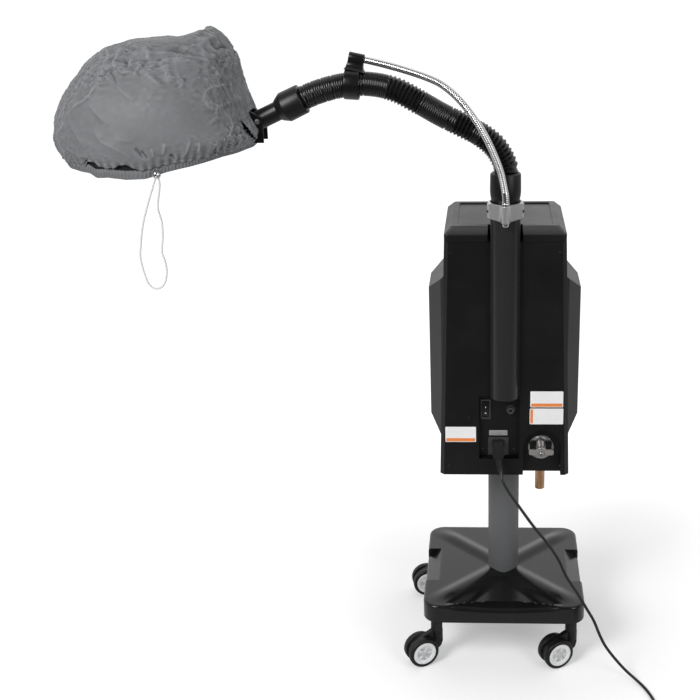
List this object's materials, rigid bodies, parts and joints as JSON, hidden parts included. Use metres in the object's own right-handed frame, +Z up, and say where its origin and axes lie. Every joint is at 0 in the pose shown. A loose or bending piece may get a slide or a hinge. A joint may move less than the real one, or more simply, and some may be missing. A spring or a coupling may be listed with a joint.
{
  "type": "hair steamer",
  "caption": "Salon hair steamer: a boiler housing on a column with casters feeds steam through a ribbed hose, held by a chrome gooseneck, into a soft bonnet with a drawstring hem.",
  "frame": {"origin": "on the floor, in the middle of the area that the object covers without its cords", "axes": "+Z up, -Y towards the rear side with the mains inlet and the drain valve, -X towards the bonnet"},
  "size_m": [1.4019, 0.6993, 1.496],
  "materials": {
    "black_plastic": "fine satin black moulding",
    "satin_plastic": "satin black moulding",
    "hose_plastic": "semi-gloss black",
    "black_paint": "black powder coat",
    "grey_paint": "dark grey powder coat",
    "tyre": "black, smooth",
    "steel": "plain",
    "chrome": "polished, finely ringed",
    "aluminium": "satin",
    "nickel": "satin nickel plate",
    "copper": "bare copper",
    "cloth": "silver grey coated cloth",
    "white_string": "white braid",
    "black_rubber": "black",
    "lens": "amber lens"
  },
  "bodies": {
    "stand": {"base_cover": "satin_plastic", "base_plate": "black_paint", "column": "grey_paint", "rear_cover": "black_plastic", "front_shell": "satin_plastic", "top_cover": "satin_plastic", "bottom_tray": "black_plastic", "heater": "steel", "boiler": "steel", "steam_pipe": "copper", "steam_spigot": "aluminium", "drain_valve": "nickel", "valve_plate": "aluminium", "drain_pipe": "copper", "switch_bezel": "black_plastic", "fuse_holder": "black_plastic", "inlet_socket": "black_plastic", "appliance_connector": "black_rubber", "mains_cord": "black_rubber", "mains_cord_coil": "black_rubber", "coil_tie": "black_rubber", "mains_plug": "black_rubber", "control_panel": "grey_paint", "steam_lamp": "lens"},
    "drain_handle": {"drain_handle": "nickel", "handle_nut": "nickel"},
    "switch_rocker": {"switch_rocker": "black_plastic"},
    "timer_knob": {"timer_knob": "black_plastic"},
    "arm": {"arm_collar": "aluminium", "gooseneck": "chrome", "hose": "hose_plastic", "hose_cuff_lower": "black_plastic", "hose_cuff_upper": "black_plastic", "nozzle_pipe": "black_plastic", "hose_clip": "black_plastic", "pivot_bolt_rear": "steel", "pivot_bolt_front": "steel"},
    "hood": {"hood_bracket": "black_paint", "hood_hoop_rear": "steel", "hood_hoop_front": "steel", "bonnet": "cloth", "drawstring": "white_string", "cord_lock": "steel"},
    "caster_rear_left": {"caster_rear_left_fork": "black_plastic"},
    "caster_rear_left_wheels": {"caster_rear_left_axle": "steel", "caster_rear_left_wheel_inner": "tyre", "caster_rear_left_wheel_outer": "tyre"},
    "caster_front_left": {"caster_front_left_fork": "black_plastic"},
    "caster_front_left_wheels": {"caster_front_left_axle": "steel", "caster_front_left_wheel_inner": "tyre", "caster_front_left_wheel_outer": "tyre"},
    "caster_rear_right": {"caster_rear_right_fork": "black_plastic"},
    "caster_rear_right_wheels": {"caster_rear_right_axle": "steel", "caster_rear_right_wheel_inner": "tyre", "caster_rear_right_wheel_outer": "tyre"},
    "caster_front_right": {"caster_front_right_fork": "black_plastic"},
    "caster_front_right_wheels": {"caster_front_right_axle": "steel", "caster_front_right_wheel_inner": "tyre", "caster_front_right_wheel_outer": "tyre"}
  },
  "joints": [
    {"name": "caster_rear_left_swivel", "type": "hinge", "parent": "stand", "child": "caster_rear_left", "pos_m": [0.21485, -0.08054, 0.085], "axis": [0, 0, 1], "continuous": true},
    {"name": "caster_rear_left_spin", "type": "hinge", "parent": "caster_rear_left", "child": "caster_rear_left_wheels", "pos_m": [0.17743, -0.09961, 0.0375], "axis": [-0.454, 0.891, 0], "continuous": true},
    {"name": "caster_front_left_swivel", "type": "hinge", "parent": "stand", "child": "caster_front_left", "pos_m": [0.21485, 0.22546, 0.085], "axis": [0, 0, 1], "continuous": true},
    {"name": "caster_front_left_spin", "type": "hinge", "parent": "caster_front_left", "child": "caster_front_left_wheels", "pos_m": [0.17377, 0.21673, 0.0375], "axis": [-0.2079, 0.9781, 0], "continuous": true},
    {"name": "caster_rear_right_swivel", "type": "hinge", "parent": "stand", "child": "caster_rear_right", "pos_m": [0.54085, -0.08054, 0.085], "axis": [0, 0, 1], "continuous": true},
    {"name": "caster_rear_right_spin", "type": "hinge", "parent": "caster_rear_right", "child": "caster_rear_right_wheels", "pos_m": [0.50343, -0.09961, 0.0375], "axis": [-0.454, 0.891, 0], "continuous": true},
    {"name": "caster_front_right_swivel", "type": "hinge", "parent": "stand", "child": "caster_front_right", "pos_m": [0.54085, 0.22546, 0.085], "axis": [0, 0, 1], "continuous": true},
    {"name": "caster_front_right_spin", "type": "hinge", "parent": "caster_front_right", "child": "caster_front_right_wheels", "pos_m": [0.49977, 0.21673, 0.0375], "axis": [-0.2079, 0.9781, 0], "continuous": true},
    {"name": "switch_rock", "type": "hinge", "parent": "stand", "child": "switch_rocker", "pos_m": [0.33485, -0.05364, 0.658], "axis": [1, 0, 0], "range_deg": [0, 14]},
    {"name": "drain_turn", "type": "hinge", "parent": "stand", "child": "drain_handle", "pos_m": [0.46185, -0.08254, 0.561], "axis": [0, 1, 0], "range_deg": [0, 90]},
    {"name": "timer_turn", "type": "hinge", "parent": "stand", "child": "timer_knob", "pos_m": [0.37785, 0.19746, 0.87], "axis": [0, 1, 0], "range_deg": [0, 300]},
    {"name": "arm_swivel", "type": "hinge", "parent": "stand", "child": "arm", "pos_m": [0.37785, -0.06954, 1.1063], "axis": [0, 0, 1], "range_deg": [-45, 45]},
    {"name": "hood_tilt", "type": "hinge", "parent": "arm", "child": "hood", "pos_m": [-0.13515, -0.06954, 1.319], "axis": [0, 1, 0], "range_deg": [-18, 25]}
  ]
}
